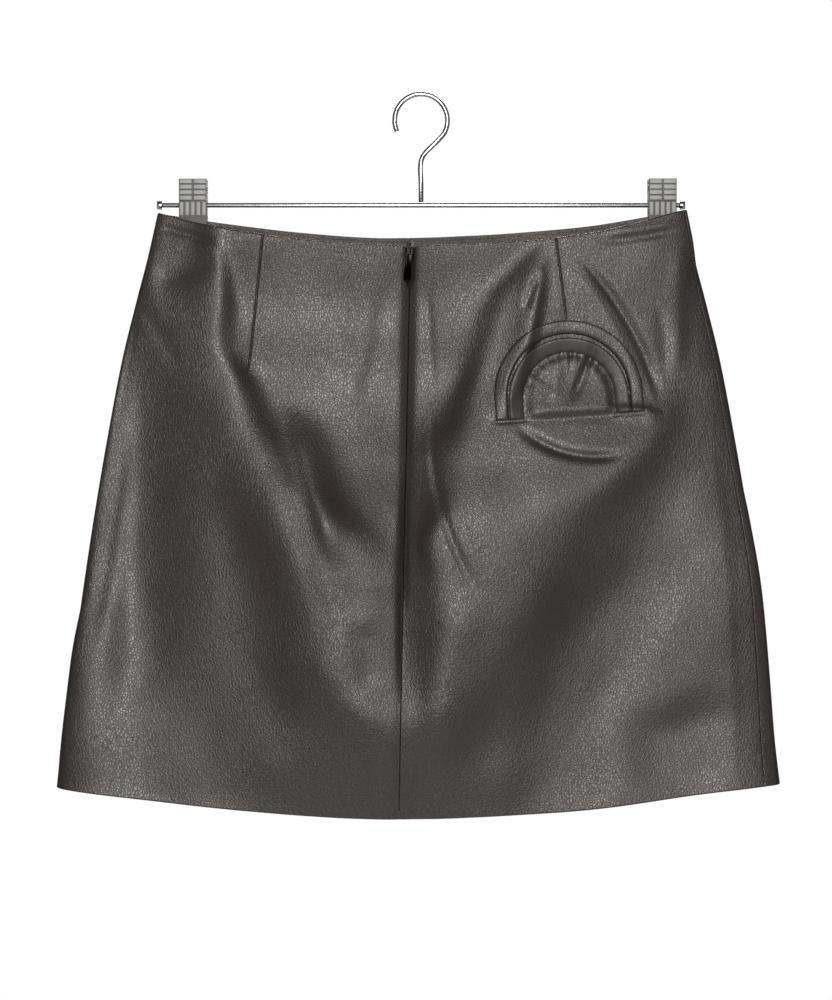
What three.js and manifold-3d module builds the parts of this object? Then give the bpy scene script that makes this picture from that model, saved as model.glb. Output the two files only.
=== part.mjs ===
// A leather mini skirt, hung by its front waist from a two-clip hanger.
// Millimetres, +Z up. -Y is the skirt's back, with the zip, and +X is to the right seen from there.
// The origin is where a rail carries the hanger: the underside of the hook's bend.
import * as THREE from "three";
import { mergeVertices } from "three/addons/utils/BufferGeometryUtils.js";
import Module from "manifold-3d";

const wasm = await Module();
wasm.setup();

// Hanger
const WIRE = 3.5; // thickness of the bar and of the hook's wire
const HOOK_RADIUS = 19; // centre line of the hook's bend
const HOOK_BEND = [-55, -25, 5, 35, 65, 95, 125, 155, 185, 205]; // degrees round the bend's centre
const STEM = { straight: 12, lean: 0.6, bendsAt: 8 }; // the bend starts this far under the ring
const RAIL_TO_BAR = 78; // rail down to the bar's axis
const BAR_ABOVE_WAIST = 6; // bar's axis above the corners of the waist
const BAR_HALF = 187;
const STOP = { radius: 3, length: 4 };
const CLIPS = [
  { name: "left", x: -163 },
  { name: "right", x: 172.5 },
];
const CLIP = {
  width: 20,
  above: 24.5,
  below: 12,
  thick: 2.4,
  clear: 0.1,
  flare: 0.6, // how far the top stands off the clip's own plane
  chamfer: 2,
  toe: 0.8,
};
const GRIP = { rows: 4, columns: 2, pad: 1.0, zone: 15.7, gapX: 1.6, gapZ: 1.1 };
const RIBS = { count: 5, wide: 2.4, proud: 0.9, tall: 9.5, under: 1 };

// Skirt
const WAIST_Z = -(RAIL_TO_BAR + BAR_ABOVE_WAIST); // height of the waist's two corners
const SIDE_LENGTH = 409.5; // waist corner down to the hem's corner
// How far each edge hangs below its corners, at which x, and the curve's power on each side
const WAIST_BACK = { dip: 24.2, lowest: -5, left: 2.1, right: 2.3, notch: 1.5, notchReach: 9 };
const WAIST_FRONT = { dip: 17, lowest: -28, left: 1.47, right: 1.9 };
const HEM = { dip: 21.1, lowest: -20, left: 1.56, right: 1.7 };
const RAISED_CORNER = { from: 110, over: 75, by: 2 }; // the right clip pulls its corner up
const RAISED_HEM = { from: 95, over: 120, by: 3.7 };
const WALL = 1.6;
const SEAM_GAP = 0.3;
const SIDE_FOLD = 3.5; // roundness of the tube's two sides
const SIDE_CALM = { from: 0.5, over: 0.45 }; // folds die away where the ring turns to the sides
const FACING = { wall: 1.0, rows: 2, clear: 8 };

// Rings of the tube: half the width and half the depth at each drop below the waist's corners,
// and how far the ring is shifted to the left
const RINGS = [
  { drop: 0, half: 188, depth: 10, lean: 0 },
  { drop: 34, half: 195.7, depth: 13.5, lean: 0 },
  { drop: 62, half: 203, depth: 15.5, lean: 0 },
  { drop: 105, half: 213.5, depth: 18, lean: 0 },
  { drop: 162, half: 224.3, depth: 20, lean: 0 },
  { drop: 219, half: 233.9, depth: 21.5, lean: 0 },
  { drop: 276, half: 242.1, depth: 22.5, lean: 0.3 },
  { drop: 334, half: 248.6, depth: 23.5, lean: 1.4 },
  { drop: 411, half: 256.2, depth: 24.5, lean: 3.2 },
  { drop: 440, half: 258.5, depth: 25, lean: 3.6 },
];

// Seams, as distances along a ring or as points on the back
const CENTRE_SEAM = { topX: -7.2, hemX: -15.7 };
const SIDE_SEAM = { top: 5.5, hem: 17 }; // round the ring from the outermost point
const LEFT_DART = { topX: -110.3, endX: -123.4, end: 116 };
const RIGHT_DART = { topX: 92.7, endX: 103, end: 80 };
const DART_HALF = 2;
const DART_CUT = 0.8;
const DART_FADE = 12;

// Zip
const ZIP = {
  end: 272,
  parted: 60, // drop down to which the slider holds the two panels apart
  partedFade: 14,
  tapeHalf: 11,
  tape: 1.0,
  pivot: 26,
  roll: 3.6, // how far the panels' edges turn in along the zip, and along the seam under it
  seamRoll: 0.7,
  rollReach: 4.3,
  rollFade: 40,
};
const SLIDER = { half: 2.5, clear: 0.25, tall: 9, archInner: 2.5, archOuter: 3.5, archHalf: 0.5, stand: 1.5 };
const SUNK = 0.2; // how far a joined foot or pad stands in the body under it
const PULL = {
  half: 2.6,
  rail: 1.2,
  window: 5.2,
  shoulder: 1, // under the window the plate narrows to its neck
  neck: 5,
  neckShare: 0.8,
  length: 24,
  thick: 0.9,
  tilt: 6,
  clear: 1.6,
  beside: 3,
};

// Arched pocket trim on the right back panel
const ARCH = { x: 105.4, drop: 145.6, tilt: 3.8 };
const BANDS = [
  { name: "arch_band_outer", outer: 52.8, width: 9.0, leg: 15 },
  { name: "arch_band_inner", outer: 42.8, width: 10.3, leg: 12.8 },
];
const BAND_RAISE = 2.2;
const BAND_EDGE = 0.8;
const BAND_GAP = 0.4;

// The middle of the back hangs forward in a swag between a left and a right line, each with the
// softness of its step
const SWAG = [
  { drop: 20, left: -153.5, right: 200, forward: 7.7, leftSoft: 5, rightSoft: 5 },
  { drop: 77, left: -164.3, right: 182.2, forward: 3.7, leftSoft: 9.5, rightSoft: 5.5 },
  { drop: 120, left: -156.8, right: 187.3, forward: 0.9, leftSoft: 5, rightSoft: 5 },
  { drop: 177, left: -132.7, right: 163, forward: 10.5, leftSoft: 15.1, rightSoft: 8 },
  { drop: 227, left: -113.3, right: 121.2, forward: 20.1, leftSoft: 13.7, rightSoft: 19.1 },
  { drop: 280, left: -104.4, right: 94.5, forward: 19, leftSoft: 14.8, rightSoft: 13.3 },
  { drop: 337, left: -95.9, right: 59.8, forward: 17.2, leftSoft: 13.4, rightSoft: 14.1 },
  { drop: 385, left: -73.2, right: 24.6, forward: 16.4, leftSoft: 25.7, rightSoft: 15.5 },
  { drop: 440, left: -71.8, right: 0.3, forward: 0, leftSoft: 27.7, rightSoft: 24.7 },
];

// Above the swag the cloth on both sides of the zip lies further back
const YOKE = [
  { drop: 20, left: -140.6, right: 88.5, back: 1.9, leftSoft: 2.6, rightSoft: 3.7 },
  { drop: 60, left: -136.5, right: 53.5, back: 7.1, leftSoft: 2.6, rightSoft: 4.9 },
  { drop: 95, left: -137.2, right: 41.2, back: 7.8, leftSoft: 3.8, rightSoft: 4.7 },
  { drop: 120, left: -123.9, right: 33.1, back: 8.6, leftSoft: 4, rightSoft: 3.5 },
  { drop: 150, left: -111.1, right: 22.5, back: 10.5, leftSoft: 7.5, rightSoft: 6 },
  { drop: 177, left: -87.7, right: 7.8, back: 10.7, leftSoft: 10.3, rightSoft: 9.8 },
  { drop: 205, left: -64.3, right: 9.2, back: 9, leftSoft: 8, rightSoft: 5.9 },
  { drop: 235, left: -35.6, right: 0, back: 7.5, leftSoft: 9, rightSoft: 2.6 },
  { drop: 265, left: -14.9, right: 4.3, back: 4.3, leftSoft: 12.4, rightSoft: 4.4 },
];

// The zip pulls a shallow hollow in the cloth on both sides of it
const HOLLOW = { deep: 3.1, reach: 25, end: 377.8, fade: 80 };

// Soft folds: a line from one point to another, its bow to the right, the height of its crest
// (a trough is under 0) and how far it reaches to each side
const FOLD_FADE = 0.3; // share of a fold's length over which each end dies away
const BACK_FOLDS = [
  { x0: -154.1, d0: 3, x1: -58.2, d1: 345.6, bow: -8.6, height: 2, left: 21.4, right: 12.9 },
  { x0: 84.9, d0: 22.3, x1: 53.5, d1: 155.6, bow: 7, height: 4.2, left: 11.5, right: 4.8 },
  { x0: -199.3, d0: 53.8, x1: -208.5, d1: 407.5, bow: 2.3, height: -7.5, left: 19.6, right: 32.8 },
  { x0: 199.6, d0: 111.9, x1: 219.8, d1: 435.7, bow: 4.7, height: 0.8, left: 20.6, right: 6.3 },
  { x0: 203.1, d0: 175.9, x1: 108.5, d1: 449.9, bow: 20.7, height: 2.5, left: 27, right: 37.5 },
  { x0: -156.6, d0: 170.2, x1: -125.2, d1: 421.6, bow: -4.2, height: 0.7, left: 15.6, right: 17 },
  { x0: -8.4, d0: 170.9, x1: -12.7, d1: 352.7, bow: -2.4, height: -3.9, left: 2.6, right: 12.1 },
  { x0: -74.3, d0: 306.4, x1: -17.6, d1: 368.1, bow: -9.5, height: 1.1, left: 14.3, right: 12 },
  { x0: 28.6, d0: 258.2, x1: -7.8, d1: 386.1, bow: 5, height: 2.2, left: 15.5, right: 19.5 },
  { x0: 81.1, d0: 297.8, x1: 43.6, d1: 434.2, bow: 2.8, height: 2.1, left: 17.3, right: 19 },
  { x0: -242.6, d0: 234, x1: -245.4, d1: 519.6, bow: -3.1, height: 9, left: 14, right: 41.1 },
  { x0: 253.9, d0: 138.7, x1: 235.4, d1: 523.3, bow: 7.2, height: 9, left: 50.4, right: 14.2 },
  { x0: -95.7, d0: 133.7, x1: -58.6, d1: 255.7, bow: 2.9, height: 4.8, left: 8.1, right: 14 },
  { x0: 68.1, d0: 445.3, x1: 339.2, d1: 419.8, bow: 7.6, height: 3.8, left: 45, right: 28.5 },
  { x0: -339.9, d0: 435.2, x1: -88.5, d1: 457.8, bow: 2.2, height: 5.4, left: 45, right: 21.9 },
  { x0: 151.5, d0: 197.1, x1: 214.2, d1: 346.1, bow: 0.5, height: 0.7, left: 25.2, right: 24.5 },
];
const FRONT_FOLDS = [
  { x0: -158, d0: 16, x1: -40, d1: 330, bow: -14, height: 6, left: 26, right: 22 },
  { x0: 166, d0: 16, x1: 52, d1: 352, bow: 16, height: 5, left: 20, right: 28 },
  { x0: -70, d0: 90, x1: -96, d1: 470, bow: 5, height: -5, left: 26, right: 30 },
  { x0: 88, d0: 130, x1: 120, d1: 470, bow: -6, height: -4.5, left: 24, right: 32 },
  { x0: 6, d0: 150, x1: 16, d1: 470, bow: 4, height: 7, left: 40, right: 44 },
];

const TINY = 1e-6;
const MERGE = 1e-4;
const mix = (a, b, t) => a + (b - a) * t;
const clamp01 = (t) => Math.min(1, Math.max(0, t));
const soft = (t) => clamp01(t) ** 2 * (3 - 2 * clamp01(t));
const bell = (t) => Math.exp(-t * t);
const rise = (t) => 1 / (1 + Math.exp(-t));
const degrees = THREE.MathUtils.degToRad;

// A table's column at a drop, as a smooth curve through its rows
function atDrop(table, column, drop) {
  const last = table.length - 1;
  let i = 0;
  while (i < last - 1 && drop > table[i + 1].drop) i += 1;
  const slope = (k) => {
    const low = table[Math.max(k - 1, 0)];
    const high = table[Math.min(k + 1, last)];
    return (high[column] - low[column]) / (high.drop - low.drop);
  };
  const span = table[i + 1].drop - table[i].drop;
  const t = clamp01((drop - table[i].drop) / span);
  const start = table[i][column] * (1 + 2 * t) * (1 - t) ** 2;
  const end = table[i + 1][column] * t * t * (3 - 2 * t);
  const bend = slope(i) * t * (1 - t) ** 2 - slope(i + 1) * t * t * (1 - t);
  return start + end + bend * span;
}

// One ring of the tube: an ellipse grown by the side folds' roundness, with its arc length,
// counted from the middle of the back to the right
const QUARTER_STEPS = 120;
function ring(drop) {
  const a = atDrop(RINGS, "half", drop) - SIDE_FOLD;
  const b = atDrop(RINGS, "depth", drop) - SIDE_FOLD;
  const lean = atDrop(RINGS, "lean", drop);
  const at = (beta) => {
    const nx = Math.sin(beta) / a;
    const ny = -Math.cos(beta) / b;
    const long = Math.hypot(nx, ny);
    return {
      x: a * Math.sin(beta) + (SIDE_FOLD * nx) / long - lean,
      y: -b * Math.cos(beta) + (SIDE_FOLD * ny) / long,
      nx: nx / long,
      ny: ny / long,
    };
  };
  const arc = [0];
  let before = at(0);
  for (let i = 1; i <= QUARTER_STEPS; i++) {
    const now = at((i / QUARTER_STEPS) * (Math.PI / 2));
    arc.push(arc[i - 1] + Math.hypot(now.x - before.x, now.y - before.y));
    before = now;
  }
  const quarter = arc[QUARTER_STEPS];
  const betaOf = (length) => {
    let i = 1;
    while (i < QUARTER_STEPS && arc[i] < length) i += 1;
    const share = (length - arc[i - 1]) / (arc[i] - arc[i - 1]);
    return ((i - 1 + share) / QUARTER_STEPS) * (Math.PI / 2);
  };
  const point = (length) => {
    const rest = ((length % (4 * quarter)) + 4 * quarter) % (4 * quarter);
    const turn = Math.min(3, Math.floor(rest / quarter));
    const within = rest - turn * quarter;
    const beta =
      turn % 2 === 0
        ? (turn * Math.PI) / 2 + betaOf(within)
        : ((turn + 1) * Math.PI) / 2 - betaOf(quarter - within);
    return at(beta);
  };
  return { quarter, point };
}

// How far a fold lifts the cloth at a point
function foldHeight(fold, x, drop) {
  const dx = fold.x1 - fold.x0;
  const dd = fold.d1 - fold.d0;
  const long = Math.hypot(dx, dd);
  const along = ((x - fold.x0) * dx + (drop - fold.d0) * dd) / (long * long);
  if (along <= 0 || along >= 1) return 0;
  const bowed = fold.bow * 4 * along * (1 - along);
  const aside = ((x - fold.x0) * dd - (drop - fold.d0) * dx) / long - bowed;
  const fade = soft(along / FOLD_FADE) * soft((1 - along) / FOLD_FADE);
  return fold.height * fade * bell(aside / (aside < 0 ? fold.left : fold.right));
}

const centreX = (drop) => mix(CENTRE_SEAM.topX, CENTRE_SEAM.hemX, drop / (SIDE_LENGTH + HEM.dip));
const dartX = (dart, drop) => mix(dart.topX, dart.endX, drop / dart.end);

// Nearly 1 between a table's two lines and nearly 0 outside them
function between(table, x, drop) {
  const left = rise((x - atDrop(table, "left", drop)) / atDrop(table, "leftSoft", drop));
  const right = rise((atDrop(table, "right", drop) - x) / atDrop(table, "rightSoft", drop));
  return left * right;
}

function swagHeight(x, drop) {
  const forward = atDrop(SWAG, "forward", drop) * between(SWAG, x, drop);
  return forward - atDrop(YOKE, "back", drop) * between(YOKE, x, drop);
}

function sum(folds, x, drop) {
  return folds.reduce((total, fold) => total + foldHeight(fold, x, drop), 0);
}

function backRelief(x, drop) {
  const aside = x - centreX(drop);
  const zipped = soft((ZIP.end + ZIP.rollFade / 2 - drop) / ZIP.rollFade);
  const roll = mix(ZIP.seamRoll, ZIP.roll, zipped) * bell(aside / ZIP.rollReach);
  const hollow = HOLLOW.deep * bell(aside / HOLLOW.reach) * soft((HOLLOW.end - drop) / HOLLOW.fade);
  return swagHeight(x, drop) + sum(BACK_FOLDS, x, drop) - roll - hollow;
}

// A point of the skirt's outer face, by its arc length round the ring and its drop
function skin(length, drop) {
  const base = ring(drop).point(length);
  const relief = base.ny < 0 ? backRelief(base.x, drop) : sum(FRONT_FOLDS, base.x, drop);
  const out = relief * soft((Math.abs(base.ny) - SIDE_CALM.from) / SIDE_CALM.over);
  return new THREE.Vector3(base.x + out * base.nx, base.y + out * base.ny, WAIST_Z - drop);
}

// The same with its outward normal
function skinAndNormal(length, drop) {
  const step = 0.5;
  const across = skin(length + step, drop).sub(skin(length - step, drop));
  const down = skin(length, drop + step).sub(skin(length, drop - step));
  return { point: skin(length, drop), normal: down.cross(across).normalize() };
}

// The waist's and the hem's drop at a place on the ring
function sag(edge, x, corner) {
  const side = x < edge.lowest ? -1 : 1;
  const share = clamp01((x - edge.lowest) / (side * corner - edge.lowest));
  return edge.dip * (1 - share ** (side < 0 ? edge.left : edge.right));
}

function edges(base) {
  const notch = base.ny < 0 ? WAIST_BACK.notch * bell((base.x - CENTRE_SEAM.topX) / WAIST_BACK.notchReach) : 0;
  const raised = (end) => end.by * soft((base.x - end.from) / end.over);
  const waist = sag(base.ny < 0 ? WAIST_BACK : WAIST_FRONT, base.x, RINGS[0].half);
  const hem = SIDE_LENGTH + sag(HEM, base.x, atDrop(RINGS, "half", SIDE_LENGTH));
  return {
    waist: waist + notch - raised(RAISED_CORNER),
    hem: hem - raised(RAISED_HEM),
  };
}

// Guides: the arc length of a seam or a line at each drop
const quarterAt = (drop) => ring(drop).quarter;
const seamArc = (drop) => mix(SIDE_SEAM.top, SIDE_SEAM.hem, drop / SIDE_LENGTH);
const rightSeam = (drop) => quarterAt(drop) - seamArc(drop);
const leftSeam = (drop) => -quarterAt(drop) - seamArc(drop);
const outermost = (side, inwards) => (drop) => side * (quarterAt(drop) - inwards);
const onBack = (xOf, aside) => (drop) => xOf(drop) + atDrop(RINGS, "lean", drop) + aside;
const zipHalf = (drop) => SEAM_GAP / 2 + (SLIDER.half + SLIDER.clear) * soft((ZIP.parted - drop) / ZIP.partedFade);
const besideZip = (side, aside) => (drop) => onBack(centreX, side * (zipHalf(drop) + aside))(drop);
const moved = (guide, by) => (drop) => guide(drop) + by;

// Columns of a panel: its guides with even steps between them. cut marks a dart's line.
function columnsOf(...stops) {
  const columns = [];
  stops.forEach((stop, i) => {
    const next = stops[i + 1];
    const steps = next ? stop.steps : 1;
    for (let k = 0; k < steps; k++) {
      const at = next ? (drop) => mix(stop.at(drop), next.at(drop), k / steps) : stop.at;
      columns.push({ at, dart: k === 0 ? stop.dart : undefined });
    }
  });
  return columns;
}

function dartCut(dart, drop) {
  return dart ? DART_CUT * soft((dart.end - drop) / DART_FADE) : 0;
}

// A grid of points with normals over a panel: rows go down from the waist
function gridOf(columns, rows, lastRow = rows) {
  const grid = [];
  for (let r = 0; r <= lastRow; r++) {
    grid.push(
      columns.map(({ at, dart }) => {
        const share = r / rows;
        const guess = ring(share * SIDE_LENGTH).point(at(share * SIDE_LENGTH));
        const { waist, hem } = edges(guess);
        const drop = mix(waist, hem, share);
        return { ...skinAndNormal(at(drop), drop), cut: dartCut(dart, drop) };
      }),
    );
  }
  return grid;
}

const shifted = (grid, byOf) =>
  grid.map((row) => row.map((g) => g.point.clone().addScaledVector(g.normal, byOf(g))));
const lifted = (grid, by) => shifted(grid, () => by);
const grooved = (grid) => shifted(grid, (g) => -g.cut);

// A closed wall between two layers of points, the outer one first
function wallBetween(outer, inner) {
  const rows = outer.length;
  const columns = outer[0].length;
  const points = [...outer.flat(), ...inner.flat()];
  const index = [];
  const id = (layer, r, c) => layer * rows * columns + r * columns + c;
  const quad = (a, b, c, d) => index.push(a, b, c, a, c, d);
  for (let r = 0; r < rows - 1; r++) {
    for (let c = 0; c < columns - 1; c++) {
      quad(id(0, r, c), id(0, r + 1, c), id(0, r + 1, c + 1), id(0, r, c + 1));
      quad(id(1, r, c), id(1, r, c + 1), id(1, r + 1, c + 1), id(1, r + 1, c));
    }
  }
  for (let r = 0; r < rows - 1; r++) {
    quad(id(0, r, 0), id(1, r, 0), id(1, r + 1, 0), id(0, r + 1, 0));
    quad(id(0, r, columns - 1), id(0, r + 1, columns - 1), id(1, r + 1, columns - 1), id(1, r, columns - 1));
  }
  for (let c = 0; c < columns - 1; c++) {
    quad(id(0, 0, c), id(0, 0, c + 1), id(1, 0, c + 1), id(1, 0, c));
    quad(id(0, rows - 1, c), id(1, rows - 1, c), id(1, rows - 1, c + 1), id(0, rows - 1, c + 1));
  }
  const geometry = new THREE.BufferGeometry().setFromPoints(points);
  geometry.setIndex(index);
  geometry.computeVertexNormals();
  return geometry;
}

// The y of a layer of points at a place seen from the back or the front
function layerY(layer, x, z) {
  const triangle = new THREE.Triangle();
  const flat = new THREE.Vector3(x, 0, z);
  const weights = new THREE.Vector3();
  const level = (p) => new THREE.Vector3(p.x, 0, p.z);
  for (let r = 0; r < layer.length - 1; r++) {
    for (let c = 0; c < layer[0].length - 1; c++) {
      const [a, b, d, e] = [layer[r][c], layer[r + 1][c], layer[r + 1][c + 1], layer[r][c + 1]];
      for (const [p, q, s] of [[a, b, d], [a, d, e]]) {
        triangle.set(level(p), level(q), level(s));
        if (!triangle.getBarycoord(flat, weights)) continue;
        if (Math.min(weights.x, weights.y, weights.z) < -TINY) continue;
        return weights.x * p.y + weights.y * q.y + weights.z * s.y;
      }
    }
  }
  return undefined;
}

function solidOf(geometry) {
  const plain = geometry.index ? geometry.toNonIndexed() : geometry.clone();
  plain.deleteAttribute("normal");
  plain.deleteAttribute("uv");
  const merged = mergeVertices(plain, MERGE);
  return new wasm.Manifold(
    new wasm.Mesh({
      numProp: 3,
      vertProperties: merged.attributes.position.array,
      triVerts: new Uint32Array(merged.index.array),
    }),
  );
}

function geometryOf(solid) {
  const mesh = solid.getMesh();
  const geometry = new THREE.BufferGeometry();
  geometry.setAttribute("position", new THREE.BufferAttribute(mesh.vertProperties, 3));
  geometry.setIndex(new THREE.BufferAttribute(mesh.triVerts, 1));
  geometry.computeVertexNormals();
  return geometry;
}

const joined = (geometries) => geometryOf(geometries.map(solidOf).reduce((a, b) => a.add(b)));
const block = (x, y, z, cx, cy, cz) => new THREE.BoxGeometry(x, y, z).translate(cx, cy, cz);

const LEATHER = new THREE.MeshStandardMaterial({ color: 0x4b4441, roughness: 0.45, metalness: 0 });
const FACING_LEATHER = new THREE.MeshStandardMaterial({ color: 0x47413d, roughness: 0.6, metalness: 0 });
const TAPE = new THREE.MeshStandardMaterial({ color: 0x2a2623, roughness: 0.9, metalness: 0 });
const BLACK_NICKEL = new THREE.MeshStandardMaterial({ color: 0x1c1b1d, roughness: 0.2, metalness: 1 });
const STEEL = new THREE.MeshStandardMaterial({ color: 0xc9cacb, roughness: 0.2, metalness: 1 });
const CLEAR_GREY = new THREE.MeshStandardMaterial({ color: 0xd4d5d4, roughness: 0.25, metalness: 0.3 });

const skirt = new THREE.Group();
function piece(name, geometry, material, group = skirt) {
  const mesh = new THREE.Mesh(geometry, material);
  mesh.name = name;
  group.add(mesh);
  return mesh;
}

const BACK_ROWS = 32;
const FRONT_ROWS = 20;

function panel(name, columns, rows) {
  const grid = gridOf(columns, rows);
  const layers = { outer: grooved(grid), inner: lifted(grid, -WALL), columns };
  piece(name, wallBetween(layers.outer, layers.inner), LEATHER);
  return layers;
}

function dartStops(dart, steps) {
  const line = onBack((drop) => dartX(dart, drop), 0);
  return [
    { at: moved(line, -DART_HALF), steps: 1 },
    { at: line, steps: 1, dart },
    { at: moved(line, DART_HALF), steps },
  ];
}

const halfGap = SEAM_GAP / 2;
const backLeft = panel(
  "back_left",
  columnsOf(
    { at: moved(leftSeam, halfGap), steps: 3 },
    { at: outermost(-1, -4), steps: 3 },
    { at: outermost(-1, 4), steps: 2 },
    { at: outermost(-1, 16), steps: 8 },
    ...dartStops(LEFT_DART, 11),
    { at: besideZip(-1, 8), steps: 1 },
    { at: besideZip(-1, 3), steps: 1 },
    { at: besideZip(-1, 0) },
  ),
  BACK_ROWS,
);
const backRight = panel(
  "back_right",
  columnsOf(
    { at: besideZip(1, 0), steps: 1 },
    { at: besideZip(1, 3), steps: 1 },
    { at: besideZip(1, 8), steps: 11 },
    ...dartStops(RIGHT_DART, 9),
    { at: outermost(1, 28), steps: 3 },
    { at: moved(rightSeam, -halfGap) },
  ),
  BACK_ROWS,
);
const frontEnds = { first: 6, last: 32 };
const frontColumns = columnsOf(
  { at: moved(rightSeam, halfGap), steps: 2 },
  { at: outermost(1, 4), steps: 3 },
  { at: outermost(1, -4), steps: 1 },
  { at: outermost(1, -FACING.clear), steps: 26 },
  { at: (drop) => 3 * quarterAt(drop) - seamArc(drop) - FACING.clear, steps: 2 },
  { at: (drop) => 3 * quarterAt(drop) - seamArc(drop) - halfGap },
);
const front = panel("front", frontColumns, FRONT_ROWS);

// The facing lies against the front panel's inner points
const facingGrid = gridOf(frontColumns.slice(frontEnds.first, frontEnds.last + 1), FRONT_ROWS, FACING.rows);
const facingInner = lifted(facingGrid, -(WALL + SEAM_GAP + FACING.wall));
piece("front_facing", wallBetween(lifted(facingGrid, -(WALL + SEAM_GAP)), facingInner), FACING_LEATHER);

// A band of the arch, laid on the panel's points
const ARC_STEPS = 44;
const LEG_STEPS = 4;
function archBand({ name, outer, width, leg }) {
  const section = [
    { off: width, up: 0 },
    { off: width, up: BAND_RAISE - BAND_EDGE },
    { off: width - BAND_EDGE, up: BAND_RAISE },
    { off: BAND_EDGE, up: BAND_RAISE },
    { off: 0, up: BAND_RAISE - BAND_EDGE },
    { off: 0, up: 0 },
    { off: width / 3, up: 0 },
    { off: (2 * width) / 3, up: 0 },
  ];
  const place = (step, off) => {
    const radius = outer - width + off;
    if (step < LEG_STEPS) return { p: -radius, q: (leg * step) / LEG_STEPS };
    if (step > LEG_STEPS + ARC_STEPS) {
      return { p: radius, q: (leg * (2 * LEG_STEPS + ARC_STEPS - step)) / LEG_STEPS };
    }
    const turn = Math.PI * (1 - (step - LEG_STEPS) / ARC_STEPS);
    return { p: radius * Math.cos(turn), q: leg + radius * Math.sin(turn) };
  };
  const tilt = degrees(ARCH.tilt);
  const rows = [];
  for (let step = 0; step <= 2 * LEG_STEPS + ARC_STEPS; step++) {
    rows.push(
      section.map(({ off, up }) => {
        const { p, q } = place(step, off);
        const x = ARCH.x + p * Math.cos(tilt) - q * Math.sin(tilt);
        const z = WAIST_Z - ARCH.drop + p * Math.sin(tilt) + q * Math.cos(tilt);
        return new THREE.Vector3(x, layerY(backRight.outer, x, z) - BAND_GAP - up, z);
      }),
    );
  }
  piece(name, tubeThrough(rows), LEATHER);
}

// A closed solid through rows of points, each row one section of it
function tubeThrough(rows) {
  const sides = rows[0].length;
  const index = [];
  for (let r = 0; r < rows.length - 1; r++) {
    for (let k = 0; k < sides; k++) {
      const next = (k + 1) % sides;
      const [a, b, c, d] = [r * sides + k, r * sides + next, (r + 1) * sides + next, (r + 1) * sides + k];
      index.push(a, b, c, a, c, d);
    }
  }
  const end = (rows.length - 1) * sides;
  for (let k = 1; k < sides - 1; k++) {
    index.push(0, k + 1, k);
    index.push(end, end + k, end + k + 1);
  }
  const geometry = new THREE.BufferGeometry().setFromPoints(rows.flat());
  geometry.setIndex(index);
  geometry.computeVertexNormals();
  return geometry;
}
BANDS.forEach(archBand);

// Zip tape: a ribbon just inside the two panels' edges
const TAPE_ROWS = 20;
const TAPE_NEAR = [-0.5, -0.25, 0, 0.25, 0.5]; // shares of a row above and below it
const TAPE_ASIDE = [0.2, 1, 2, 4, 6, 8, 10, 12];
const ZIP_TOP = WAIST_BACK.dip + WAIST_BACK.notch + 1;
const tapeStep = (ZIP.end - ZIP_TOP) / TAPE_ROWS;
function innermostY(drop) {
  const found = [];
  for (const near of TAPE_NEAR) {
    const z = WAIST_Z - drop - near * tapeStep;
    for (const off of TAPE_ASIDE) {
      found.push(layerY(backLeft.inner, centreX(drop) - zipHalf(drop) - off, z));
      found.push(layerY(backRight.inner, centreX(drop) + zipHalf(drop) + off, z));
    }
  }
  return Math.max(...found.filter((y) => y !== undefined));
}
const tapeFace = [];
for (let r = 0; r <= TAPE_ROWS; r++) {
  const drop = mix(ZIP_TOP, ZIP.end, r / TAPE_ROWS);
  const y = innermostY(drop) + SEAM_GAP;
  const edgeOf = (side) => new THREE.Vector3(centreX(drop) + side * ZIP.tapeHalf, y, WAIST_Z - drop);
  tapeFace.push([-1, 1].map(edgeOf));
}
const behindTape = tapeFace.map((row) => row.map((p) => p.clone().setY(p.y + ZIP.tape)));
piece("zip_tape", wallBetween(tapeFace, behindTape), TAPE);

// Slider: a body in the gap between the panels and an arch that holds the pull tab
const axes = (x, y, z) => new THREE.Matrix4().makeBasis(
  new THREE.Vector3(...x),
  new THREE.Vector3(...y),
  new THREE.Vector3(...z),
);
const pivotZ = WAIST_Z - ZIP.pivot;
const pivotX = centreX(ZIP.pivot);
const besideY = (drop) => skin(onBack(centreX, -PULL.half - PULL.beside)(drop), drop).y;
const pivotY = besideY(ZIP.pivot) - PULL.clear;
const sliderBack = Math.min(tapeFace[0][0].y, tapeFace[1][0].y) - SEAM_GAP - SLIDER.clear / 2;
const sliderDeep = sliderBack - (pivotY + SLIDER.stand);
const archShape = new THREE.Shape();
archShape.absarc(0, 0, SLIDER.archOuter, 0, Math.PI, false);
archShape.absarc(0, 0, SLIDER.archInner, Math.PI, 0, true);
const arch = new THREE.ExtrudeGeometry(archShape, {
  depth: 2 * SLIDER.archHalf,
  bevelEnabled: false,
  curveSegments: 10,
});
arch.translate(0, -SUNK, -SLIDER.archHalf);
arch.applyMatrix4(axes([0, 0, 1], [0, -1, 0], [1, 0, 0]));
arch.translate(0, SLIDER.stand, 0);
const body = block(2 * SLIDER.half, sliderDeep, SLIDER.tall, 0, SLIDER.stand + sliderDeep / 2, 0);
const slider = piece("zip_slider", joined([body, arch]), BLACK_NICKEL);
slider.position.set(pivotX, pivotY, pivotZ);

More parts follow.
